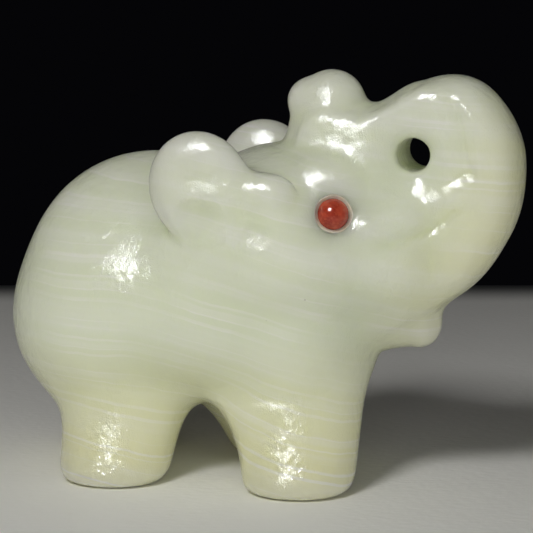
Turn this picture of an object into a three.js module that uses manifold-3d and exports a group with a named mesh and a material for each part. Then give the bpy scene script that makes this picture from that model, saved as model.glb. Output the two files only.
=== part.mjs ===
// A small carved elephant of banded green calcite, standing with its trunk curled back onto its forehead.
// The stone is one solid. Two round red beads are its eyes, each glued into a drilled socket.
// Millimetres, +X towards the face, +Y towards the elephant's left, +Z up, standing on z = 0.

import * as THREE from "three";
import { mergeVertices } from "three/addons/utils/BufferGeometryUtils.js";
import Module from "manifold-3d";

const wasm = await Module();
wasm.setup();

// Driving dimensions. The carving follows the length; beads, drill and sole edge keep their own sizes.
const length = 50.8;
const eyeDiameter = 3.0;
const eyeProud = 0.9;
const socketClearance = 0.25;
const soleEdgeRadius = 0.7;

// The forms below are set out in shares of the length, written pc, and the carving is 97.6 of them long.
const pc = length / 97.6;

// Ways to join and cut rounded forms. Each form is a function of a point, below zero inside the stone.
const join = (a, b, round) => {
  const h = Math.max(round - Math.abs(a - b), 0) / round;
  return Math.min(a, b) - (h * h * h * round) / 6;
};
const cut = (a, b, round) => -join(-a, b, round);
const { lerp, inverseLerp, clamp, smoothstep, degToRad, radToDeg } = THREE.MathUtils;

// A height read off straight lines between the given places.
function ramp(at, places, heights) {
  let next = 1;
  while (next < places.length - 1 && at > places[next]) next++;
  const share = clamp(inverseLerp(places[next - 1], places[next], at), 0, 1);
  return lerp(heights[next - 1], heights[next], share);
}

// An ellipsoid, tilted about the Y axis through its centre by an angle in degrees.
function ellipsoid(centre, radii, tilt = 0) {
  const c = Math.cos(degToRad(tilt));
  const s = Math.sin(degToRad(tilt));
  return (x, y, z) => {
    const dx = x - centre[0];
    const dy = y - centre[1];
    const dz = z - centre[2];
    const u = (c * dx - s * dz) / radii[0];
    const v = dy / radii[1];
    const w = (s * dx + c * dz) / radii[2];
    const inner = Math.hypot(u, v, w);
    const slope = Math.hypot(u / radii[0], v / radii[1], w / radii[2]);
    return slope < 1e-9 ? -Math.min(...radii) : (inner * (inner - 1)) / slope;
  };
}

// A rounded limb along a smooth curve through points [x, y, z, radius].
function limb(stations, steps) {
  const curve = new THREE.CatmullRomCurve3(stations.map(([x, y, z]) => new THREE.Vector3(x, y, z)));
  const last = stations.length - 1;
  const samples = [];
  for (let i = 0; i <= steps; i++) {
    const t = (i / steps) * last;
    const from = Math.min(Math.floor(t), last - 1);
    const radius = lerp(stations[from][3], stations[from + 1][3], smoothstep(t - from, 0, 1));
    samples.push({ at: curve.getPoint(i / steps), radius });
  }
  return (x, y, z) => {
    let nearest = Infinity;
    for (let i = 0; i < steps; i++) {
      const a = samples[i].at;
      const b = samples[i + 1].at;
      const bx = b.x - a.x;
      const by = b.y - a.y;
      const bz = b.z - a.z;
      const along = ((x - a.x) * bx + (y - a.y) * by + (z - a.z) * bz) / (bx * bx + by * by + bz * bz);
      const t = Math.min(Math.max(along, 0), 1);
      const radius = samples[i].radius + t * (samples[i + 1].radius - samples[i].radius);
      nearest = Math.min(nearest, Math.hypot(x - a.x - t * bx, y - a.y - t * by, z - a.z - t * bz) - radius);
    }
    return nearest;
  };
}

// How a form rises where the point moves: its direction is the way out of the stone.
function slopeOf(form, x, y, z) {
  const e = 0.02;
  return new THREE.Vector3(
    form(x + e, y, z) - form(x - e, y, z),
    form(x, y + e, z) - form(x, y - e, z),
    form(x, y, z + e) - form(x, y, z - e)).divideScalar(2 * e);
}

// How far the surface of a form lies from a point inside it, along a direction.
function reach(form, from, along) {
  let inside = 0;
  let outside = 40;
  for (let i = 0; i < 30; i++) {
    const middle = (inside + outside) / 2;
    if (form(...from.map((v, n) => v + middle * along[n])) < 0) inside = middle;
    else outside = middle;
  }
  return inside;
}
const sideOf = (form, x, z) => reach(form, [x, 0, z], [0, 1, 0]);

// A limb that follows the side of a form, through points [x, z, radius, height of its middle above the surface].
const limbOnSide = (form, stations, steps) =>
  limb(stations.map(([x, z, radius, height]) => [x, sideOf(form, x, z) + height, z, radius]), steps);

// Body: a deep barrel with full hips, whose upper sides are ground to a slope
const barrel = ellipsoid([-19.5, 0, 38.3], [25.5, 23.5, 22.2], 8);
const hips = ellipsoid([-29, 0, 29], [20, 23, 19.5]);
const belly = ellipsoid([-8, 0, 32], [22, 21.5, 18]);
const chest = ellipsoid([7, 0, 28], [14.5, 19.5, 17]);
const shoulder = ellipsoid([-8, 8.5, 41], [13, 14, 12]);
const backSlope = degToRad(41);
const backSlopeReach = 44.6;
function bodyForm(x, y, z) {
  let form = join(barrel(x, y, z), hips(x, y, z), 9);
  form = join(form, belly(x, y, z), 8);
  form = join(form, chest(x, y, z), 8);
  const beyond = Math.abs(y) * Math.cos(backSlope) + z * Math.sin(backSlope) - backSlopeReach;
  return cut(form, -beyond, 10);
}

// Legs: short oval columns that splay outwards to the feet and lean and widen towards the belly.
// The left pair stands behind the right pair.
const legSole = { out: 15.7, halfLength: 10.4, halfWidth: 9.6 };
const legTop = 24;
const leg = (middle, side, lean, spread) => (x, y, z) => {
  const rise = Math.min(z, 16) ** 2;
  const u = (x - middle - lean * rise) / (legSole.halfLength + spread * rise);
  const v = (side * y - legSole.out + 0.53 * z) / (legSole.halfWidth + 0.007 * rise);
  return cut((Math.hypot(u, v) - 1) * legSole.halfWidth, legTop - z, 12);
};
const legs = [
  leg(10.2, -1, -0.0165, 0.016), leg(-0.8, 1, -0.021, 0.016), leg(-25.3, -1, 0.001, 0.011), leg(-34, 1, 0.004, 0.01)];

// Tail: a short ridge that hangs down the rump and swings to the left, through points [y, z, radius]
const tailHeight = 0.7;
const tail = limb([[0, 45, 1.6], [2.2, 38.5, 1.9], [5, 32, 1.7], [7.2, 25, 2.2]].map(([y, z, radius]) =>
  [-20 - reach(bodyForm, [-20, y, z], [-1, 0, 0]) - tailHeight + radius, y, z, radius]), 10);

// Head, brow, cheeks, jaw and lower lip
const skull = ellipsoid([5, 0, 43.6], [21.5, 23, 18.8]);
const brow = ellipsoid([13, 0, 51], [13, 15.8, 13.6], 10);
const bridge = limb([[9, 0, 53, 8.4], [16, 0, 59.8, 9], [23.5, 0, 56.8, 10.2]], 8);
const face = ellipsoid([20, 0, 45.5], [13.5, 15, 13], 20);
const cheek = ellipsoid([23.5, 8.5, 42.5], [9, 6, 8], 30);
const jaw = limb([[12, 0, 32, 8], [22, 0, 30.3, 4.9], [29.4, 0, 29.2, 3.7]], 10);
const temple = ellipsoid([6, 19.6, 55], [4.4, 3.2, 3.4]);
const browRidge = ellipsoid([14.6, 11.8, 57], [5, 3, 3], 10);
const eyeHollow = ellipsoid([19, 23, 50.4], [7.4, 6, 6.6], 25);

// Trunk: out from the face, up, and back onto the forehead, with flattened sides
const trunkLine = limb(
  [[20, 0, 40, 12.6], [31.2, 0, 44, 10.2], [37.5, 0, 50.9, 9.3], [39.7, 0, 59.9, 8.6], [36.8, 0, 67.2, 7.7],
   [30.6, 0, 68.8, 5.5], [24, 0, 65.2, 4.6], [16, 0, 62, 6]], 42);
const trunkHalfWidth = 9;
const trunkFlatness = 0.72;
const trunk = (x, y, z) => cut(trunkLine(x, trunkFlatness * y, z), trunkHalfWidth - Math.abs(y), 6);
const flankLine = limb([[14, 0, 63, 6.2], [20, 0, 63.4, 4.4], [26, 0, 66, 4.2], [32, 0, 68.4, 5.2]], 8);
const flankHalfWidth = 8.4;
const flank = (x, y, z) => cut(flankLine(x, 0, z), flankHalfWidth - Math.abs(y), 5);
const tip = limb([[11.4, 0, 54, 7.6], [11.2, 0, 63, 6.8], [12.6, 0, 70, 5.9]], 8);
const tipLobe = ellipsoid([8.4, 0, 70.4], [3.8, 4.4, 3.9]);
const web = ellipsoid([27, 0, 60.5], [11, 5, 9]);

// The loop: a drilled hole in the middle of a shallow hollow on each side
const loopHole = (x, y, z) => Math.hypot(x - 29.1, z - 61.4) - 3.4;
const loopHollow = ellipsoid([26.5, 14, 65], [11, 6, 6.5], 32);
const loopGroove = ellipsoid([29.1, 11.5, 61], [6, 5, 6]);

function headForm(x, y, z) {
  let form = join(skull(x, y, z), face(x, y, z), 8);
  form = join(form, brow(x, y, z), 3);
  form = join(form, bridge(x, y, z), 3);
  form = join(form, cheek(x, Math.abs(y), z), 5);
  form = join(form, jaw(x, y, z), 4);
  form = join(form, trunk(x, y, z), 6);
  form = join(form, web(x, y, z), 5);
  form = join(form, flank(x, y, z), 2);
  form = join(form, join(tip(x, y, z), tipLobe(x, y, z), 2), 3);
  form = cut(form, loopHollow(x, Math.abs(y), z), 1.5);
  form = cut(form, loopGroove(x, Math.abs(y), z), 4);
  return cut(form, loopHole(x, y, z), 2.5);
}

// Tusks: crescents in low relief on the sides of the trunk's root
const tusk = limbOnSide(headForm,
  [[22.5, 48.4, 3, -2.4], [27.5, 49.4, 3.4, -2.6], [32, 51.2, 3, -2.3], [36.4, 53.9, 2.2, -1.7],
   [40.4, 56.6, 1.4, -1.1]], 30);

// How deep the face is ground in, up to the crisp rim that runs below the tusk and up the trunk
const rimTurns = [-88.5, -68, -44, -26, -11, 5, 18, 36, 51];
const rimReaches = [15.4, 14.4, 14.15, 14.8, 15.2, 14.7, 14.8, 15.8, 16.4];
function groundIn(x, z) {
  const turn = radToDeg(Math.atan2(z - 60, x - 27));
  const inside = ramp(turn, rimTurns, rimReaches) - Math.hypot(x - 27, z - 60);
  const depth = ramp(turn, [-108, -88, -12, 5, 40, 60], [0, 1.2, 1.2, 0.6, 0.6, 0]);
  return depth * smoothstep(inside, 0, 1.8) * ramp(inside, [1.8, 6], [1, 0]);
}

// Ears: raised pads with a dish above and a round scoop below, parted from the cheek by a shallow hollow
const ear = (shift, drop) => {
  const pad = ellipsoid([-6.7 + shift, 20.4, 56.2 - drop], [9.4, 4.6, 10], -16);
  const root = ellipsoid([-1.4 + shift, 16, 48.8 - drop], [11.2, 7.8, 10.2]);
  const dish = ellipsoid([-3.8 + shift, 30.4, 59.6 - drop], [11, 6.8, 7], -10);
  const scoop = ellipsoid([-6 + shift, 29.6, 49 - drop], [9.4, 7.4, 7.4], -16);
  return (x, y, z) => {
    const pads = join(pad(x, y, z), root(x, y, z), 5);
    return cut(cut(pads, dish(x, y, z), 2), scoop(x, y, z), 1.5);
  };
};
const ears = [ear(0, 0), ear(0.8, 1.4)];
const earGroove = ellipsoid([4.4, 28, 50], [7, 5.6, 4.6], 35);

const soleRound = soleEdgeRadius / pc;
function stone(x, y, z) {
  const side = Math.abs(y);
  let body = bodyForm(x, y, z);
  for (const each of legs) body = join(body, each(x, y, z), 6);
  body = join(body, tail(x, y, z), 1.5);
  body = join(body, shoulder(x, side, z), 5);
  let head = join(headForm(x, y, z) + groundIn(x, z), tusk(x, side, z), 2);
  head = join(head, temple(x, side, z), 4);
  head = join(head, browRidge(x, side, z), 4);
  head = cut(head, eyeHollow(x, side, z), 3);
  const eared = join(head, ears[y < 0 ? 0 : 1](x, side, z), 5);
  let all = join(join(body, head, 6), eared, 2);
  all = cut(all, earGroove(x, side, z), 3.2);
  return cut(all, z, 4 * soleRound);
}

// Grid lines along an axis, whose spacing changes evenly between the given places [place, spacing].
function gridLines(marks) {
  const lines = [marks[0][0]];
  while (lines.at(-1) < marks.at(-1)[0]) {
    const here = lines.at(-1);
    const next = marks.findIndex(([place]) => place > here);
    const [from, wide] = marks[next - 1];
    const [to, fine] = marks[next];
    lines.push(here + lerp(wide, fine, (here - from) / (to - from)));
  }
  return lines;
}

// The edges of a grid cell, four along each axis, and the edges on each of its six faces.
const cellEdges = [];
for (let axis = 0; axis < 3; axis++)
  for (const v of [0, 1])
    for (const u of [0, 1]) {
      const from = [0, 0, 0];
      from[(axis + 1) % 3] = u;
      from[(axis + 2) % 3] = v;
      cellEdges.push({ axis, from });
    }
const cellFaces = [];
for (let across = 0; across < 3; across++)
  for (const side of [0, 1])
    cellFaces.push(cellEdges.map((_, e) => e).filter((e) =>
      cellEdges[e].axis !== across && cellEdges[e].from[across] === side));

// Sorts the crossed edges of a cell into one group for each sheet of surface that passes through it.
function sheetsOf(crossed, isInside) {
  const group = new Map(crossed.map((e) => [e, e]));
  const link = (e, f) => {
    const [keep, drop] = [group.get(e), group.get(f)];
    for (const each of crossed) if (group.get(each) === drop) group.set(each, keep);
  };
  for (const face of cellFaces) {
    const here = face.filter((e) => group.has(e));
    for (const e of here)
      for (const f of here) {
        if (here.length === 2) link(e, f);
        if (cellEdges[e].axis >= cellEdges[f].axis) continue;
        const shared = [...cellEdges[e].from];
        shared[cellEdges[e].axis] = cellEdges[f].from[cellEdges[e].axis];
        if (isInside(shared)) link(e, f);
      }
  }
  return [...new Set(group.values())].map((sheet) => crossed.filter((e) => group.get(e) === sheet));
}

// Turns a form into triangles. Each cell of a grid gets a corner for each sheet of surface that crosses it,
// pulled onto the surface, and each crossed grid edge gets a face between the four cells around the edge.
function surfaceOf(form, lines) {
  const [nx, ny, nz] = lines.map((axis) => axis.length);
  const at = (i, j, k) => (k * ny + j) * nx + i;
  const place = (i, j, k) => new THREE.Vector3(lines[0][i], lines[1][j], lines[2][k]);
  const value = new Float64Array(nx * ny * nz);
  for (let k = 0; k < nz; k++)
    for (let j = 0; j < ny; j++)
      for (let i = 0; i < nx; i++) value[at(i, j, k)] = form(...place(i, j, k));

  const edgeCorner = new Int32Array(nx * ny * nz * cellEdges.length);
  const positions = [];
  for (let k = 0; k < nz - 1; k++)
    for (let j = 0; j < ny - 1; j++)
      for (let i = 0; i < nx - 1; i++) {
        const ends = cellEdges.map(({ axis, from }) => {
          const a = [i + from[0], j + from[1], k + from[2]];
          const b = [...a];
          b[axis] += 1;
          return [a, b];
        });
        const crossed = cellEdges.map((_, e) => e).filter((e) =>
          value[at(...ends[e][0])] < 0 !== value[at(...ends[e][1])] < 0);
        if (!crossed.length) continue;
        for (const sheet of sheetsOf(crossed, ([u, v, w]) => value[at(i + u, j + v, k + w)] < 0)) {
          const corner = new THREE.Vector3();
          for (const e of sheet) {
            const [a, b] = ends[e];
            const share = value[at(...a)] / (value[at(...a)] - value[at(...b)]);
            corner.add(place(...a).lerp(place(...b), share).divideScalar(sheet.length));
            edgeCorner[at(i, j, k) * cellEdges.length + e] = positions.length / 3;
          }
          for (let pull = 0; pull < 4; pull++) {
            const slope = slopeOf(form, corner.x, corner.y, corner.z);
            const step = -form(corner.x, corner.y, corner.z) / Math.max(slope.lengthSq(), 0.2);
            corner.addScaledVector(slope, step).clamp(place(i, j, k), place(i + 1, j + 1, k + 1));
          }
          positions.push(...corner);
        }
      }

  const faces = [];
  for (let k = 1; k < nz - 1; k++)
    for (let j = 1; j < ny - 1; j++)
      for (let i = 1; i < nx - 1; i++)
        for (let axis = 0; axis < 3; axis++) {
          const next = [i, j, k];
          next[axis] += 1;
          const isInside = value[at(i, j, k)] < 0;
          if (isInside === value[at(...next)] < 0) continue;
          const ring = [[0, 0], [1, 0], [1, 1], [0, 1]].map(([u, v]) => {
            const cell = [i, j, k];
            cell[(axis + 1) % 3] -= u;
            cell[(axis + 2) % 3] -= v;
            return edgeCorner[at(...cell) * cellEdges.length + axis * 4 + v * 2 + u];
          });
          if (!isInside) ring.reverse();
          faces.push(ring[0], ring[1], ring[2], ring[0], ring[2], ring[3]);
        }

  const geometry = new THREE.BufferGeometry();
  geometry.setAttribute("position", new THREE.Float32BufferAttribute(positions, 3));
  geometry.setIndex(faces);
  return geometry;
}

// The head's side of the grid is finer, so that tusks, ears and loop keep their shape in few triangles.
const stoneGeometry = surfaceOf(stone, [
  gridLines([[-58, 3.3], [-22, 3.3], [8, 2.15], [54, 2.15]]),
  gridLines([[-32, 2.65], [32, 2.65]]),
  gridLines([[-3.9, 1.7], [0, 1.7], [8, 3.2], [25, 3.2], [45, 2.2], [82, 2.2]]),
]);
stoneGeometry.scale(pc, pc, pc);

// Eyes: each bead sits in a hole drilled square to the stone with a ball-nosed bit, a little larger than the bead
const eyeX = 17.3;
const eyeZ = 51.7;
const eyeRadius = eyeDiameter / 2;
const socketRadius = eyeRadius + socketClearance;
const socketMouth = 2.5;
const drill = new THREE.LatheGeometry([
  ...new THREE.Path().absarc(0, 0, socketRadius, -Math.PI / 2, 0).getPoints(6),
  new THREE.Vector2(socketRadius, socketMouth),
  new THREE.Vector2(0, socketMouth),
], 20);
const eyes = [["eye_right", -1], ["eye_left", 1]].map(([name, side]) => {
  const y = side * sideOf((a, b, c) => stone(a, side * b, c), eyeX, eyeZ);
  const outward = slopeOf(stone, eyeX, y, eyeZ).normalize();
  const middle = new THREE.Vector3(eyeX, y, eyeZ).multiplyScalar(pc).addScaledVector(outward, eyeProud - eyeRadius);
  const turn = new THREE.Quaternion().setFromUnitVectors(new THREE.Vector3(0, 1, 0), outward);
  return { name, middle, turn };
});

// A closed mesh as a solid that can be cut, and back again.
function solidOf(geometry) {
  const bare = new THREE.BufferGeometry().setAttribute("position", geometry.getAttribute("position"));
  bare.setIndex(geometry.index);
  const merged = mergeVertices(bare, 1e-5);
  const index = merged.index.array;
  const triangles = [];
  for (let i = 0; i < index.length; i += 3) {
    const [a, b, c] = index.slice(i, i + 3);
    if (a !== b && b !== c && c !== a) triangles.push(a, b, c);
  }
  const vertProperties = new Float32Array(merged.getAttribute("position").array);
  return new wasm.Manifold(new wasm.Mesh({ numProp: 3, vertProperties, triVerts: new Uint32Array(triangles) }));
}
function geometryOf(solid) {
  const mesh = solid.getMesh();
  const geometry = new THREE.BufferGeometry();
  geometry.setAttribute("position", new THREE.BufferAttribute(mesh.vertProperties, 3));
  geometry.setIndex(new THREE.BufferAttribute(mesh.triVerts, 1));
  geometry.computeVertexNormals();
  return geometry;
}

let carved = solidOf(stoneGeometry);
for (const { middle, turn } of eyes) {
  const hole = drill.clone().applyQuaternion(turn).translate(middle.x, middle.y, middle.z);
  carved = carved.subtract(solidOf(hole));
}
const carvedGeometry = geometryOf(carved);

// The whole carving is moved so that its box is centred on the origin.
carvedGeometry.computeBoundingBox();
const boxMiddle = carvedGeometry.boundingBox.getCenter(new THREE.Vector3());

const elephant = new THREE.Group();
elephant.position.set(-boxMiddle.x, -boxMiddle.y, 0);
const calcite = new THREE.MeshStandardMaterial({ color: 0xc3c7a9, roughness: 0.25, metalness: 0 });
const stoneMesh = new THREE.Mesh(carvedGeometry, calcite);
stoneMesh.name = "elephant";
elephant.add(stoneMesh);

const redBead = new THREE.MeshStandardMaterial({ color: 0xa8321f, roughness: 0.15, metalness: 0 });
for (const { name, middle, turn } of eyes) {
  const bead = new THREE.Mesh(new THREE.SphereGeometry(eyeRadius, 14, 10), redBead);
  bead.name = name;
  bead.position.copy(middle);
  bead.quaternion.copy(turn);
  elephant.add(bead);
}

export default elephant;
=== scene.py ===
"""A small elephant carved from banded green calcite, with red beads for eyes, standing on a pale table.

Metres, +X towards the face, +Y towards the elephant's left, +Z up, standing on z = 0.
"""

import math

import bmesh
import bpy
import numpy as np
from mathutils import Matrix, Vector


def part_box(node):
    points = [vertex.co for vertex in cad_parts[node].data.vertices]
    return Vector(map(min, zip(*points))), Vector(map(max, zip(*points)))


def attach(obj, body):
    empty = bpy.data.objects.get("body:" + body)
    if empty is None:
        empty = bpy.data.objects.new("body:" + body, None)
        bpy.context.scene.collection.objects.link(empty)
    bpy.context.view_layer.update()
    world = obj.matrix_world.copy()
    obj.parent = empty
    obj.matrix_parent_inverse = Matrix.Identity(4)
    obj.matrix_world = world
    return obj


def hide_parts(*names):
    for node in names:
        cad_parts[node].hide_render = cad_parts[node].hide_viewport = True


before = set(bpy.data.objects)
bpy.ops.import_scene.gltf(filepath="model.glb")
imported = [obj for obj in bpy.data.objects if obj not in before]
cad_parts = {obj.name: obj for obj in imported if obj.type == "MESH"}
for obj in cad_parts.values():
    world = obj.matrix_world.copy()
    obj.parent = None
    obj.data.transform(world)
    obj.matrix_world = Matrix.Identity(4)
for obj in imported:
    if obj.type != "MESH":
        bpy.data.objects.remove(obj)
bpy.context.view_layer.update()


# The table and its light
# The carving stands on a pale sheet with a fine grain. The sheet's colour is painted darker towards the
# back and painted black at its far edge: painted shade where the lamps' light falls off into the dark.
# Two small lamps above the camera, to its left, light it and make its highlights. The rest is weak fill.
MM = 0.001
aim = Vector((0.1, 0.0, 20.3)) * MM
camera_azimuth = math.radians(16.0)
camera_elevation = math.radians(8.6)
camera_distance = 244.0 * MM
frame_pixels = 533
focal_pixels = 2499.0
sensor_width = 36.0

back = Vector((
    math.sin(camera_azimuth) * math.cos(camera_elevation),
    -math.cos(camera_azimuth) * math.cos(camera_elevation),
    math.sin(camera_elevation),
))
right = Vector((math.cos(camera_azimuth), math.sin(camera_azimuth), 0.0))
up = back.cross(right)

camera_data = bpy.data.cameras.new("camera")
camera_data.sensor_width = sensor_width
camera_data.lens = focal_pixels / frame_pixels * sensor_width
camera_data.clip_start = 10.0 * MM
camera_data.clip_end = 10.0
camera = bpy.data.objects.new("camera", camera_data)
camera.location = aim + camera_distance * back
camera.rotation_mode = "QUATERNION"
camera.rotation_quaternion = (-back).to_track_quat("-Z", "Y")
bpy.context.scene.collection.objects.link(camera)
bpy.context.scene.camera = camera
bpy.context.scene.view_settings.view_transform = "Standard"


def add_lamp(name, direction, distance, width, power, colour, in_gloss, in_body=True):
    """A square lamp that faces the carving, and that polished surfaces or matt ones can be kept from."""
    data = bpy.data.lights.new(name, "AREA")
    data.size = width
    data.energy = power
    data.color = colour
    lamp = bpy.data.objects.new(name, data)
    lamp.location = aim + direction.normalized() * distance
    lamp.rotation_mode = "QUATERNION"
    lamp.rotation_quaternion = (-direction).to_track_quat("-Z", "Y")
    lamp.visible_glossy = in_gloss
    lamp.visible_diffuse = in_body
    bpy.context.scene.collection.objects.link(lamp)


from_upper_left = -0.36 * right + 0.58 * up + 0.73 * back
add_lamp("key_lamp", from_upper_left, 0.32, 0.085, 0.40, (1.0, 0.985, 0.95), True)
add_lamp("glint_lamp", from_upper_left, 0.31, 0.085, 0.75, (0.9, 0.95, 1.0), True, False)
add_lamp("right_fill", 0.9 * right - 0.02 * up + 0.5 * back, 0.6, 0.4, 0.5, (1.0, 0.98, 0.93), False)
add_lamp("front_fill", 0.1 * right - 0.08 * up + back, 0.6, 0.4, 1.2, (1.0, 0.99, 0.97), False)
add_lamp("left_fill", -0.6 * right - 0.8 * back, 0.6, 0.4, 1.1, (1.0, 0.93, 0.78), False)

world = bpy.data.worlds.new("studio")
world.use_nodes = True
world.node_tree.nodes["Background"].inputs["Color"].default_value = (0.0015, 0.0015, 0.002, 1.0)
bpy.context.scene.world = world


def add_node(tree, kind, inputs=None, **settings):
    """Adds a shader node, sets its properties, and gives each named input a value or a link."""
    node = tree.nodes.new("ShaderNode" + kind)
    for name, value in settings.items():
        setattr(node, name, value)
    for name, value in (inputs or {}).items():
        if isinstance(value, bpy.types.NodeSocket):
            tree.links.new(value, node.inputs[name])
        else:
            node.inputs[name].default_value = value
    return node


def new_material(name):
    """A material whose only node is a Principled shader, and that shader."""
    material = bpy.data.materials.new(name)
    material.use_nodes = True
    return material, material.node_tree, material.node_tree.nodes["Principled BSDF"]


def new_piece(name, bm, material, smooth=True):
    """Turns a bmesh into an object at the origin, with its place in its mesh."""
    mesh = bpy.data.meshes.new(name)
    bm.to_mesh(mesh)
    bm.free()
    for polygon in mesh.polygons:
        polygon.use_smooth = smooth
    mesh.materials.append(material)
    piece = bpy.data.objects.new(name, mesh)
    bpy.context.scene.collection.objects.link(piece)
    return piece


table_behind = 116.0 * MM
table_before = 420.0 * MM
table_half_width = 460.0 * MM
painted_edge_shade = 16.0 * MM

table_paint, tree, shader = new_material("table")
place = add_node(tree, "TexCoord").outputs["Object"]
turned = add_node(tree, "Mapping", {"Vector": place, "Rotation": (0.0, 0.0, -camera_azimuth)}).outputs[0]
depth = add_node(tree, "SeparateXYZ", {0: turned}).outputs["Y"]
# Painted shade: the sheet's colour is darkened towards the back and faded to black over its far edge.
lit = add_node(tree, "MapRange", {
    "Value": depth, "From Min": table_behind - painted_edge_shade, "From Max": table_behind,
    "To Min": 1.0, "To Max": 0.0,
}, interpolation_type="SMOOTHSTEP").outputs[0]
stretched = add_node(tree, "Mapping", {"Vector": turned, "Scale": (0.6, 1.0, 1.0)}).outputs[0]
grain = add_node(tree, "TexNoise", {"Vector": stretched, "Scale": 1500.0, "Detail": 2.0}).outputs[0]
mottle = add_node(tree, "TexNoise", {"Vector": turned, "Scale": 90.0, "Detail": 3.0}).outputs[0]
pale = add_node(tree, "Mix", {
    0: mottle, 6: (0.90, 0.90, 0.88, 1.0), 7: (0.96, 0.96, 0.945, 1.0),
}, data_type="RGBA").outputs[2]
dim = add_node(tree, "MapRange", {
    "Value": depth, "From Min": 0.0, "From Max": table_behind, "To Min": 1.0, "To Max": 0.72,
}).outputs[0]
lit = add_node(tree, "Math", {0: lit, 1: dim}, operation="MULTIPLY").outputs[0]
painted_falloff_colour = add_node(tree, "Mix", {0: lit, 6: (0.0, 0.0, 0.0, 1.0), 7: pale}, data_type="RGBA").outputs[2]
tree.links.new(painted_falloff_colour, shader.inputs["Base Color"])
table_bump = add_node(tree, "Bump", {"Height": grain, "Strength": 0.5, "Distance": 0.15 * MM}).outputs[0]
tree.links.new(table_bump, shader.inputs["Normal"])
shader.inputs["Roughness"].default_value = 0.8

bm = bmesh.new()
bmesh.ops.create_grid(bm, x_segments=1, y_segments=1, size=1.0)
bmesh.ops.scale(bm, vec=(table_half_width, (table_behind + table_before) / 2, 1.0), verts=bm.verts)
bmesh.ops.translate(bm, vec=(0.0, (table_behind - table_before) / 2, -0.02 * MM), verts=bm.verts)
bmesh.ops.rotate(bm, matrix=Matrix.Rotation(camera_azimuth, 3, "Z"), verts=bm.verts)
table = new_piece("table", bm, table_paint)


# The stone
# One block of pale green banded calcite, sawn, ground round on a wheel and polished by hand.
# Its forms are set out in shares of the carving's length, as a carver sets out a block.
low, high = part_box("elephant")
length_in_shares = 97.66
middle_in_shares = 0.192
share = (high.x - low.x) / length_in_shares
shift = np.array(((low.x + high.x) / 2 / share + middle_in_shares, (low.y + high.y) / 2 / share, 0.0))
far_away = 99.0


def join(a, b, rounding):
    """Both forms, with a rounded valley between them. A form is below zero inside the stone."""
    near = np.maximum(rounding - np.abs(a - b), 0.0) / rounding
    return np.minimum(a, b) - near ** 3 * rounding / 6


def cut(a, b, rounding):
    """What a and b have in common, with a rounded edge."""
    return -join(-a, b, rounding)


def ellipsoid(centre, radii, tilt=0.0):
    """An ellipsoid, tilted about the Y axis through its centre by an angle in degrees."""
    c = math.cos(math.radians(tilt))
    s = math.sin(math.radians(tilt))

    def form(x, y, z):
        dx, dy, dz = x - centre[0], y - centre[1], z - centre[2]
        u, v, w = (c * dx - s * dz) / radii[0], dy / radii[1], (s * dx + c * dz) / radii[2]
        inner = np.sqrt(u * u + v * v + w * w)
        slope = np.sqrt((u / radii[0]) ** 2 + (v / radii[1]) ** 2 + (w / radii[2]) ** 2)
        return inner * (inner - 1.0) / np.maximum(slope, 1e-9)

    return form


def curve_through(points, steps):
    """Points on a smooth curve through the given ones, whose pace follows the root of their spacing."""
    points = np.vstack([2 * points[0] - points[1], points, 2 * points[-1] - points[-2]])
    spans = len(points) - 3
    found = []
    for t in np.linspace(0.0, spans, steps + 1):
        i = min(int(t), spans - 1)
        p0, p1, p2, p3 = points[i:i + 4]
        d0, d1, d2 = (np.linalg.norm(b - a) ** 0.5 for a, b in ((p0, p1), (p1, p2), (p2, p3)))
        out1 = ((p1 - p0) / d0 - (p2 - p0) / (d0 + d1) + (p2 - p1) / d1) * d1
        out2 = ((p2 - p1) / d1 - (p3 - p1) / (d1 + d2) + (p3 - p2) / d2) * d1
        w = t - i
        square, cube = 3 * (p2 - p1) - 2 * out1 - out2, 2 * (p1 - p2) + out1 + out2
        found.append(p1 + out1 * w + square * w ** 2 + cube * w ** 3)
    return np.array(found)


def limb(stations, steps):
    """A rounded limb along a smooth curve through stations (x, y, z, radius)."""
    stations = np.array(stations, float)
    line = curve_through(stations[:, :3], steps)
    t = np.linspace(0.0, len(stations) - 1, steps + 1)
    first = np.minimum(t.astype(int), len(stations) - 2)
    ease = (t - first) ** 2 * (3 - 2 * (t - first))
    radii = stations[first, 3] * (1 - ease) + stations[first + 1, 3] * ease
    reach_out = radii.max() + 14.0

    def form(x, y, z):
        given = np.stack(np.broadcast_arrays(x, y, z), -1)
        near = np.all((given > line.min(0) - reach_out) & (given < line.max(0) + reach_out), axis=-1)
        points = given[near]
        nearest = np.full(len(points), far_away)
        for a, b, ra, rb in zip(line, line[1:], radii, radii[1:]):
            along = b - a
            share_along = np.clip((points - a) @ along / (along @ along), 0.0, 1.0)
            gap = points - a - share_along[:, None] * along
            nearest = np.minimum(nearest, np.sqrt((gap * gap).sum(1)) - ra - share_along * (rb - ra))
        result = np.full(near.shape, far_away)
        result[near] = nearest
        return result

    return form


def side_of(form, x, z):
    """How far out a form's side lies, at places x and z."""
    x, z = np.array(x, float), np.array(z, float)
    inside, outside = np.zeros(len(x)), np.full(len(x), 40.0)
    for _ in range(30):
        middle = (inside + outside) / 2
        is_in = form(x, middle, z) < 0
        inside, outside = np.where(is_in, middle, inside), np.where(is_in, outside, middle)
    return inside


def limb_on_side(form, stations, steps):
    """A limb along the side of a form, through stations (x, z, radius, height above the side)."""
    x, z, radius, height = np.array(stations, float).T
    return limb(np.stack([x, side_of(form, x, z) + height, z, radius], 1), steps)


barrel = ellipsoid((-19.5, 0, 38.3), (25.5, 23.5, 22.2), 8)
hips = ellipsoid((-29, 0, 29), (20, 23, 19.5))
belly = ellipsoid((-8, 0, 32), (22, 21.5, 18))
chest = ellipsoid((7, 0, 28), (14.5, 19.5, 17))
shoulder = ellipsoid((-8, 8.5, 41), (13, 14, 12))
back_slope = math.radians(41)
back_slope_reach = 44.6


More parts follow.
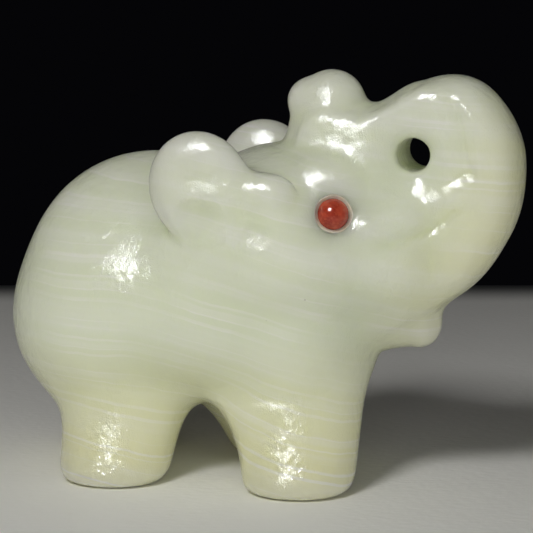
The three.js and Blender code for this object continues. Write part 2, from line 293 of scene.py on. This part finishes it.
def body_form(x, y, z):
    """The trunk of the body, whose upper sides are ground to a slope."""
    form = join(barrel(x, y, z), hips(x, y, z), 9)
    form = join(form, belly(x, y, z), 8)
    form = join(form, chest(x, y, z), 8)
    beyond = np.abs(y) * math.cos(back_slope) + z * math.sin(back_slope) - back_slope_reach
    return cut(form, -beyond, 10)


def leg(middle, side, lean, spread):
    """A short oval column that splays outwards to its foot, and leans and widens towards the belly."""
    sole_out, sole_half_length, sole_half_width, top = 15.7, 10.4, 9.6, 24.0
    splay, knee_height, side_spread = 0.53, 16.0, 0.007

    def form(x, y, z):
        rise = np.minimum(z, knee_height) ** 2
        u = (x - middle - lean * rise) / (sole_half_length + spread * rise)
        v = (side * y - sole_out + splay * z) / (sole_half_width + side_spread * rise)
        return cut((np.hypot(u, v) - 1) * sole_half_width, top - z, 12)

    return form


legs = (
    leg(10.2, -1, -0.0165, 0.016), leg(-0.8, 1, -0.021, 0.016),
    leg(-25.3, -1, 0.001, 0.011), leg(-34, 1, 0.004, 0.01),
)

tail_height = 0.7
tail_stations = []
for tail_y, tail_z, tail_radius in ((0, 45, 1.6), (2.2, 38.5, 1.9), (5, 32, 1.7), (7.2, 25, 2.2)):
    rump = side_of(lambda x, out, z: body_form(-20 - out, np.full(len(out), tail_y), z), [0.0], [tail_z])[0]
    tail_stations.append((-20 - rump - tail_height + tail_radius, tail_y, tail_z, tail_radius))
tail = limb(tail_stations, 10)

skull = ellipsoid((5, 0, 43.6), (21.5, 23, 18.8))
brow = ellipsoid((13, 0, 51), (13, 15.8, 13.6), 10)
bridge = limb(((9, 0, 53, 8.4), (16, 0, 59.8, 9), (23.5, 0, 56.8, 10.2)), 8)
face = ellipsoid((20, 0, 45.5), (13.5, 15, 13), 20)
cheek = ellipsoid((23.5, 8.5, 42.5), (9, 6, 8), 30)
jaw = limb(((12, 0, 32, 8), (22, 0, 30.3, 4.9), (29.4, 0, 29.2, 3.7)), 10)
trunk_line = limb((
    (20, 0, 40, 12.6), (31.2, 0, 44, 10.2), (37.5, 0, 50.9, 9.3), (39.7, 0, 59.9, 8.6),
    (36.8, 0, 67.2, 7.7), (30.6, 0, 68.8, 5.5), (24, 0, 65.2, 4.6), (16, 0, 62, 6),
), 84)
trunk_half_width = 9
trunk_flatness = 0.72
tip = limb(((11.4, 0, 54, 7.6), (11.2, 0, 63, 6.8), (12.6, 0, 70, 5.9)), 8)
tip_lobe = ellipsoid((8.4, 0, 70.4), (3.8, 4.4, 3.9))
web = ellipsoid((27, 0, 60.5), (11, 5, 9))
flank = limb(((14, 0, 63, 6.2), (20, 0, 63.4, 4.4), (26, 0, 66, 4.2), (32, 0, 68.4, 5.2)), 8)
flank_half_width = 8.4
loop_hollow = ellipsoid((26.5, 14, 65), (11, 6, 6.5), 32)
loop_groove = ellipsoid((29.1, 11.5, 61), (6, 5, 6))
loop_centre = (29.1, 61.4)
loop_radius = 3.4


def head_form(x, y, z):
    """Skull, brow, jaw and the trunk, which curls up and back with a drilled hole in its loop."""
    form = join(skull(x, y, z), face(x, y, z), 8)
    form = join(form, brow(x, y, z), 3)
    form = join(form, bridge(x, y, z), 3)
    form = join(form, cheek(x, np.abs(y), z), 5)
    form = join(form, jaw(x, y, z), 4)
    trunk = cut(trunk_line(x, trunk_flatness * y, z), trunk_half_width - np.abs(y), 6)
    form = join(form, trunk, 6)
    form = join(form, web(x, y, z), 5)
    form = join(form, cut(flank(x, 0 * y, z), flank_half_width - np.abs(y), 5), 2)
    form = join(form, join(tip(x, y, z), tip_lobe(x, y, z), 2), 3)
    form = cut(form, loop_hollow(x, np.abs(y), z), 1.5)
    form = cut(form, loop_groove(x, np.abs(y), z), 4)
    return cut(form, np.hypot(x - loop_centre[0], z - loop_centre[1]) - loop_radius, 2.5)


tusk = limb_on_side(head_form, (
    (22.5, 48.4, 3, -2.4), (27.5, 49.4, 3.4, -2.6), (32, 51.2, 3, -2.3), (36.4, 53.9, 2.2, -1.7),
    (40.4, 56.6, 1.4, -1.1),
), 30)
rim_turns = (-88.5, -68, -44, -26, -11, 5, 18, 36, 51)
rim_reaches = (15.4, 14.4, 14.15, 14.8, 15.2, 14.7, 14.8, 15.8, 16.4)
rim_centre = (27, 60)
ground_turns = (-108, -88, -12, 5, 40, 60)
ground_depths = (0, 1.2, 1.2, 0.6, 0.6, 0)
bank_width = 1.8
ground_width = 6


def ground_in(x, z):
    """How deep the face is ground in, up to the crisp rim that runs below the tusk and up the trunk."""
    along, above = x - rim_centre[0], z - rim_centre[1]
    turn = np.degrees(np.arctan2(above, along))
    inside = np.interp(turn, rim_turns, rim_reaches) - np.hypot(along, above)
    depth = np.interp(turn, ground_turns, ground_depths)
    bank = np.clip(inside / bank_width, 0, 1)
    rise = 0.65 * bank + 0.35 * bank ** 2 * (3 - 2 * bank)
    return depth * rise * np.interp(inside, (bank_width, ground_width), (1, 0))


def ear(forward, drop):
    """A raised pad with a shallow dish, on a root that runs into the head."""
    pad = ellipsoid((-6.7 + forward, 20.4, 56.2 - drop), (9.4, 4.6, 10), -16)
    root = ellipsoid((-1.4 + forward, 16, 48.8 - drop), (11.2, 7.8, 10.2))
    dish = ellipsoid((-3.8 + forward, 30.4, 59.6 - drop), (11, 6.8, 7), -10)
    scoop = ellipsoid((-6 + forward, 29.6, 49 - drop), (9.4, 7.4, 7.4), -16)

    def form(x, y, z):
        pads = join(pad(x, y, z), root(x, y, z), 5)
        return cut(cut(pads, dish(x, y, z), 2), scoop(x, y, z), 1.5)

    return form


right_ear = ear(0, 0)
left_ear = ear(0.8, 1.4)
temple = ellipsoid((6, 19.6, 55), (4.4, 3.2, 3.4))
brow_ridge = ellipsoid((14.6, 11.8, 57), (5, 3, 3), 10)
ear_groove = ellipsoid((4.4, 28, 50), (7, 5.6, 4.6), 35)
eye_hollow = ellipsoid((19, 23, 50.4), (7.4, 6, 6.6), 25)
sole_round = 0.7 * MM / share


def stone_form(x, y, z):
    """The whole carving without its eye sockets."""
    side = np.abs(y)
    body = body_form(x, y, z)
    for each in legs:
        body = join(body, each(x, y, z), 6)
    body = join(body, tail(x, y, z), 1.5)
    head = join(head_form(x, y, z) + ground_in(x, z), tusk(x, side, z), 2)
    head = join(join(head, temple(x, side, z), 4), brow_ridge(x, side, z), 4)
    head = cut(head, eye_hollow(x, side, z), 3)
    ears = np.where(y < 0, right_ear(x, side, z), left_ear(x, side, z))
    body = join(body, shoulder(x, side, z), 5)
    form = join(join(body, head, 6), join(head, ears, 5), 2)
    form = cut(form, ear_groove(x, side, z), 3.2)
    return cut(form, z, 4 * sole_round)


def stone_at(points):
    """The stone's form at points in metres, as a height above its surface in metres."""
    x, y, z = (points / share - shift).T
    return stone_form(x, y, z) * share


def outward_at(points):
    """How fast the form rises along each axis at points in metres."""
    step = 0.01 * MM
    here = stone_at(points)
    slope = np.stack([stone_at(points + step * axis) - here for axis in np.eye(3)], 1) / step
    return here, slope


def pull_to_stone(bm, rounds):
    """Moves each vertex straight onto the surface of the stone's form."""
    points = np.array([v.co for v in bm.verts])
    for _ in range(rounds):
        here, slope = outward_at(points)
        steepness = np.maximum((slope ** 2).sum(1), 0.2)
        points -= slope * np.clip(here / steepness, -MM, MM)[:, None]
    for vertex, point in zip(bm.verts, points):
        vertex.co = point


beads = {}
for name in ("eye_right", "eye_left"):
    bead_low, bead_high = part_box(name)
    middle = (bead_low + bead_high) / 2
    axis = Vector(outward_at(np.array([middle]))[1][0]).normalized()
    beads[name] = (middle, axis)
bead_radius = 1.5 * MM
socket_radius = 1.75 * MM
socket_mouth = 2.5 * MM
cell_size = 0.29 * MM

# An even skin of small cells is laid over the blank, and pulled onto the forms.
bm = bmesh.new()
bm.from_mesh(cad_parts["elephant"].data)
bmesh.ops.remove_doubles(bm, verts=bm.verts, dist=0.001 * MM)
for middle, axis in beads.values():
    plug_place = Matrix.Translation(middle)
    bmesh.ops.create_icosphere(bm, subdivisions=3, radius=1.1 * socket_radius, matrix=plug_place)
blank_mesh = bpy.data.meshes.new("blank")
bm.to_mesh(blank_mesh)
bm.free()
blank = bpy.data.objects.new("blank", blank_mesh)
bpy.context.scene.collection.objects.link(blank)
grid = blank.modifiers.new("grid", "REMESH")
grid.mode = "VOXEL"
grid.voxel_size = cell_size
bpy.context.view_layer.update()
bm = bmesh.new()
bm.from_object(blank, bpy.context.evaluated_depsgraph_get())
bpy.data.objects.remove(blank)
pull_to_stone(bm, 3)
for _ in range(3):
    bmesh.ops.smooth_vert(bm, verts=bm.verts, factor=0.5, use_axis_x=True, use_axis_y=True, use_axis_z=True)
pull_to_stone(bm, 3)

# Hand polish: waves, pits, grit and long strokes that break up the shine of a surface polished by hand.
polish = bpy.data.node_groups.new("hand_polish", "ShaderNodeTree")
for socket_name, way, kind in (
    ("Vector", "INPUT", "Vector"), ("Gloss", "INPUT", "Float"), ("Depth", "INPUT", "Float"),
    ("Roughness", "OUTPUT", "Float"), ("Normal", "OUTPUT", "Vector"),
):
    polish.interface.new_socket(socket_name, in_out=way, socket_type="NodeSocket" + kind)
given = polish.nodes.new("NodeGroupInput").outputs
patches = add_node(polish, "TexNoise", {"Vector": given["Vector"], "Scale": 0.4, "Detail": 2.0}).outputs[0]
worn = add_node(polish, "MapRange", {
    "Value": patches, "From Min": 0.40, "From Max": 0.58, "To Min": 0.4,
}).outputs[0]
waves = add_node(polish, "TexNoise", {"Vector": given["Vector"], "Scale": 0.8, "Detail": 1.0}).outputs[0]
grit = add_node(polish, "TexNoise", {"Vector": given["Vector"], "Scale": 9.0, "Detail": 1.0}).outputs[0]
drawn_out = add_node(polish, "Mapping", {
    "Vector": given["Vector"], "Rotation": (0.0, math.radians(25.0), 0.0), "Scale": (1.0, 1.0, 0.22),
}).outputs[0]
strokes = add_node(polish, "TexNoise", {"Vector": drawn_out, "Scale": 8.0, "Detail": 1.0}).outputs[0]
pit = add_node(polish, "TexVoronoi", {"Vector": given["Vector"], "Scale": 1.6}).outputs["Distance"]
pitted = add_node(polish, "MapRange", {"Value": pit, "From Min": 0.02, "From Max": 0.16}).outputs[0]
both = add_node(polish, "Math", {0: grit, 1: strokes}, operation="ADD").outputs[0]
gritty = add_node(polish, "Math", {0: both, 1: worn}, operation="MULTIPLY").outputs[0]
fine = add_node(polish, "Math", {0: pitted, 1: 0.35, 2: gritty}, operation="MULTIPLY_ADD").outputs[0]
fine_depth = add_node(polish, "Math", {0: given["Depth"], 1: 0.028 * MM}, operation="MULTIPLY").outputs[0]
wave_depth = add_node(polish, "Math", {0: given["Depth"], 1: 0.08 * MM}, operation="MULTIPLY").outputs[0]
waved = add_node(polish, "Bump", {"Height": waves, "Distance": wave_depth}).outputs[0]
gritted = add_node(polish, "Bump", {"Height": fine, "Distance": fine_depth, "Normal": waved}).outputs[0]
dulled = add_node(polish, "Math", {
    0: worn, 1: 0.06, 2: given["Gloss"],
}, operation="MULTIPLY_ADD").outputs[0]
put_out = polish.nodes.new("NodeGroupOutput")
polish.links.new(dulled, put_out.inputs["Roughness"])
polish.links.new(gritted, put_out.inputs["Normal"])


def place_in_mm(tree):
    """The place on a piece, in millimetres."""
    place = add_node(tree, "TexCoord").outputs["Object"]
    return add_node(tree, "VectorMath", {0: place, "Scale": 1 / MM}, operation="SCALE").outputs[0]


calcite, tree, shader = new_material("calcite")
in_mm = place_in_mm(tree)
drift = add_node(tree, "TexNoise", {"Vector": in_mm, "Scale": 0.055, "Detail": 1.0}).outputs[0]
feather = add_node(tree, "TexNoise", {"Vector": in_mm, "Scale": 0.35, "Detail": 3.0}).outputs[0]
axes = add_node(tree, "SeparateXYZ", {0: in_mm}).outputs
# The layers lie nearly flat, sink by 4 mm between the rump and the chest, and dip gently towards the face.
sink = add_node(tree, "MapRange", {
    "Value": axes["X"], "From Min": -16.0, "From Max": 18.0, "To Max": 4.2,
}, interpolation_type="SMOOTHSTEP").outputs[0]
layer = add_node(tree, "Math", {0: axes["X"], 1: 0.07, 2: axes["Z"]}, operation="MULTIPLY_ADD").outputs[0]
layer = add_node(tree, "Math", {0: layer, 1: sink}, operation="ADD").outputs[0]
layer = add_node(tree, "Math", {0: axes["Y"], 1: 0.09, 2: layer}, operation="MULTIPLY_ADD").outputs[0]
layer = add_node(tree, "Math", {0: drift, 1: 3.5, 2: layer}, operation="MULTIPLY_ADD").outputs[0]
layer = add_node(tree, "Math", {0: feather, 1: 0.5, 2: layer}, operation="MULTIPLY_ADD").outputs[0]


def layers(per_mm, low_end, high_end, detail):
    """A mask of flat layers across the stone, from soft to sharp as its ends come together."""
    noise = add_node(tree, "TexNoise", {
        "W": layer, "Scale": per_mm, "Detail": detail,
    }, noise_dimensions="1D").outputs[0]
    return add_node(tree, "MapRange", {
        "Value": noise, "From Min": low_end, "From Max": high_end,
    }, interpolation_type="SMOOTHSTEP").outputs[0]


def blend(share_of, first, second):
    """A colour between two, by a mask."""
    return add_node(tree, "Mix", {0: share_of, 6: first, 7: second}, data_type="RGBA").outputs[2]


def times(a, b):
    """Two masks, or a mask and a number, multiplied."""
    return add_node(tree, "Math", {0: a, 1: b}, operation="MULTIPLY").outputs[0]


green = (0.81, 0.855, 0.675, 1.0)
glow_honey = (0.86, 0.84, 0.51, 1.0)
milk = (0.87, 0.90, 0.79, 1.0)
white = (0.95, 0.95, 0.90, 1.0)
speck_brown = (0.22, 0.19, 0.12, 1.0)
veil = add_node(tree, "TexNoise", {"Vector": in_mm, "Scale": 0.12, "Detail": 2.0}).outputs[0]
cloud = add_node(tree, "MapRange", {"Value": veil, "From Min": 0.38, "From Max": 0.66}).outputs[0]
# The bottom and the lower front, as in the legs and the jaw, are painted honey: painted glow, standing for
# the yellow of light that passes through the shaded stone there. These parts take less of the milky cloud.
lowness = add_node(tree, "MapRange", {
    "Value": axes["Z"], "From Min": 15.0, "From Max": 3.0, "To Max": 0.85,
}).outputs[0]
forward = add_node(tree, "Math", {0: axes["Z"], 1: -0.5, 2: axes["X"]}, operation="MULTIPLY_ADD").outputs[0]
frontness = add_node(tree, "MapRange", {
    "Value": forward, "From Min": 2.0, "From Max": 14.0, "To Max": 0.8,
}).outputs[0]
painted_glow = add_node(tree, "Math", {0: lowness, 1: frontness}, operation="MAXIMUM").outputs[0]
outside_painted_glow = add_node(tree, "Math", {0: 1.0, 1: painted_glow}, operation="SUBTRACT").outputs[0]
lined = add_node(tree, "Math", {0: times(cloud, 0.7), 1: lowness}, operation="MAXIMUM").outputs[0]
# Painted glow: honey where the stone is shaded, at the bottom and the lower front.
colour = blend(painted_glow, green, glow_honey)
colour = blend(times(layers(0.28, 0.42, 0.66, 2.0), times(outside_painted_glow, 0.45)), colour, milk)
colour = blend(times(layers(0.7, 0.50, 0.70, 1.0), times(cloud, 0.25)), colour, white)
colour = blend(times(layers(1.9, 0.57, 0.68, 1.0), times(lined, 0.6)), colour, white)
speck = add_node(tree, "TexVoronoi", {"Vector": in_mm, "Scale": 0.22}).outputs["Distance"]
specked = add_node(tree, "MapRange", {
    "Value": speck, "From Min": 0.035, "From Max": 0.02, "To Max": 0.7,
}).outputs[0]
colour = blend(specked, colour, speck_brown)
tree.links.new(colour, shader.inputs["Base Color"])
polished = tree.nodes.new("ShaderNodeGroup")
polished.node_tree = polish
polished.inputs["Gloss"].default_value = 0.10
polished.inputs["Depth"].default_value = 1.0
tree.links.new(in_mm, polished.inputs["Vector"])
tree.links.new(polished.outputs["Roughness"], shader.inputs["Roughness"])
tree.links.new(polished.outputs["Normal"], shader.inputs["Normal"])
shader.inputs["IOR"].default_value = 1.58
shader.inputs["Subsurface Weight"].default_value = 1.0
shader.inputs["Subsurface Radius"].default_value = (1.0, 1.0, 0.9)
shader.inputs["Subsurface Scale"].default_value = 7.0 * MM


def turned_solid(profile, sides, is_ring):
    """A solid turned about Z. A ring's profile closes on itself, any other starts and ends on the axis."""
    bm = bmesh.new()
    corners = [bm.verts.new(p) for p in profile]
    following = corners[1:] + corners[:1] if is_ring else corners[1:]
    edges = [bm.edges.new(pair) for pair in zip(corners, following)]
    bmesh.ops.spin(
        bm, geom=corners + edges, cent=(0, 0, 0), axis=(0, 0, 1),
        angle=2 * math.pi, steps=sides, use_merge=True,
    )
    bmesh.ops.remove_doubles(bm, verts=bm.verts, dist=0.001 * MM)
    bmesh.ops.recalc_face_normals(bm, faces=bm.faces)
    return bm


def set_in_place(bm, direction, middle):
    """Tilts a turned solid's axis from Z to a direction, and moves it to its middle."""
    bmesh.ops.transform(bm, matrix=direction.to_track_quat("Z", "Y").to_matrix().to_4x4(), verts=bm.verts)
    bmesh.ops.translate(bm, vec=middle, verts=bm.verts)


# Each bead's socket is drilled with a round-nosed bit.
stone = new_piece("carved_stone", bm, calcite)
socket_steps = 10
for middle, axis in beads.values():
    turns = [math.pi / 2 * i / socket_steps for i in range(socket_steps + 1)]
    profile = [Vector((math.sin(a), 0.0, -math.cos(a))) * socket_radius for a in turns]
    profile += [Vector((socket_radius, 0.0, socket_mouth)), Vector((0.0, 0.0, socket_mouth))]
    bm = turned_solid(profile, 48, False)
    set_in_place(bm, axis, middle)
    drill = new_piece("drill", bm, calcite)
    hole = stone.modifiers.new("socket", "BOOLEAN")
    hole.operation = "DIFFERENCE"
    hole.solver = "EXACT"
    hole.object = drill
    bpy.context.view_layer.update()
    drilled = bpy.data.meshes.new_from_object(stone.evaluated_get(bpy.context.evaluated_depsgraph_get()))
    stone.modifiers.clear()
    bare = stone.data
    stone.data = drilled
    bpy.data.meshes.remove(bare)
    bpy.data.objects.remove(drill)
stone.data.name = "carved_stone"
stone.data.set_sharp_from_angle(angle=math.radians(40))
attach(stone, "root")
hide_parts("elephant")


# The eyes
# Two round red beads, turned on a thread and polished, with a bore right through each.
# The bore lies along the face, so that one of its mouths shows as a notch beside the stone.
bore_radius = 0.25 * MM
bore_bevel = 0.12 * MM
smoky_red = (0.34, 0.035, 0.018, 1.0)
clear_red = (0.56, 0.095, 0.05, 1.0)
fleck_red = (0.60, 0.13, 0.06, 1.0)

red_stone, tree, shader = new_material("red_bead")
in_mm = place_in_mm(tree)
smoke = add_node(tree, "TexNoise", {"Vector": in_mm, "Scale": 0.9, "Detail": 3.0}).outputs[0]
flecks = add_node(tree, "TexNoise", {"Vector": in_mm, "Scale": 5.0, "Detail": 2.0}).outputs[0]
smoky = add_node(tree, "MapRange", {"Value": smoke, "From Min": 0.36, "From Max": 0.64}).outputs[0]
flecked = add_node(tree, "MapRange", {
    "Value": flecks, "From Min": 0.5, "From Max": 0.7, "To Max": 0.5,
}).outputs[0]
bead_colour = blend(flecked, blend(smoky, smoky_red, clear_red), fleck_red)
tree.links.new(bead_colour, shader.inputs["Base Color"])
rubbed = add_node(tree, "MapRange", {
    "Value": smoke, "From Min": 0.3, "From Max": 0.7, "To Min": 0.08, "To Max": 0.18,
}).outputs[0]
tree.links.new(rubbed, shader.inputs["Roughness"])
shader.inputs["Subsurface Weight"].default_value = 0.6
shader.inputs["Subsurface Radius"].default_value = (1.0, 0.3, 0.15)
shader.inputs["Subsurface Scale"].default_value = 0.8 * MM

bead_steps = 30
bore_edge = math.asin((bore_radius + bore_bevel) / bead_radius)
bore_end = bead_radius * math.cos(bore_edge) - bore_bevel
turns = [bore_edge + (math.pi - 2 * bore_edge) * i / bead_steps for i in range(bead_steps + 1)]
bead_profile = [Vector((math.sin(a), 0.0, math.cos(a))) * bead_radius for a in turns]
bead_profile += [Vector((bore_radius, 0.0, -bore_end)), Vector((bore_radius, 0.0, bore_end))]

for name, (middle, axis) in beads.items():
    bm = turned_solid(bead_profile, 56, True)
    thread = Vector((1.0, 0.0, 0.06)) + 0.1 * axis
    thread = (thread - thread.dot(axis) * axis).normalized() + 0.12 * axis
    set_in_place(bm, thread, middle)
    bead = new_piece(name.replace("eye", "bead"), bm, red_stone)
    bead.data.set_sharp_from_angle(angle=math.radians(32))
    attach(bead, "root")
    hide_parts(name)


# The glue
# A narrow ring of cream glue fills the socket round each bead. It climbs the bead a little as it sets,
# and its outer edge has run out thin over the stone.
glue_over_stone = 0.03 * MM
dull_cream = (0.62, 0.56, 0.42, 1.0)
pale_cream = (0.78, 0.73, 0.58, 1.0)
glue_profile = [Vector((out, 0.0, height)) * MM for out, height in (
    (1.46, 0.24), (1.53, 0.27), (1.62, 0.38), (1.72, 0.52), (1.80, 0.62), (1.86, 0.60), (1.72, 0.30),
    (1.60, 0.08), (1.48, 0.02),
)]

glue, tree, shader = new_material("glue")
in_mm = place_in_mm(tree)
lumps = add_node(tree, "TexNoise", {"Vector": in_mm, "Scale": 2.5, "Detail": 2.0}).outputs[0]
tree.links.new(blend(lumps, dull_cream, pale_cream), shader.inputs["Base Color"])
lumpy = add_node(tree, "Bump", {"Height": lumps, "Distance": 0.08 * MM}).outputs[0]
tree.links.new(lumpy, shader.inputs["Normal"])
shader.inputs["Roughness"].default_value = 0.3
shader.inputs["Subsurface Weight"].default_value = 0.5
shader.inputs["Subsurface Radius"].default_value = (1.0, 0.9, 0.6)
shader.inputs["Subsurface Scale"].default_value = 0.5 * MM

for name, (middle, axis) in beads.items():
    bm = turned_solid(glue_profile, 56, True)
    run_out = [v for v in bm.verts if v.co.z > 0.55 * MM]
    thickness = [glue_over_stone if v.co.xy.length < 1.83 * MM else 0.0 for v in run_out]
    set_in_place(bm, axis, middle)
    points = np.array([v.co for v in run_out])
    for _ in range(3):
        here, slope = outward_at(points)
        points -= slope * ((here - thickness) / (slope ** 2).sum(1))[:, None]
    for vertex, point in zip(run_out, points):
        vertex.co = point
    ring = new_piece(name.replace("eye", "glue"), bm, glue)
    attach(ring, "root")
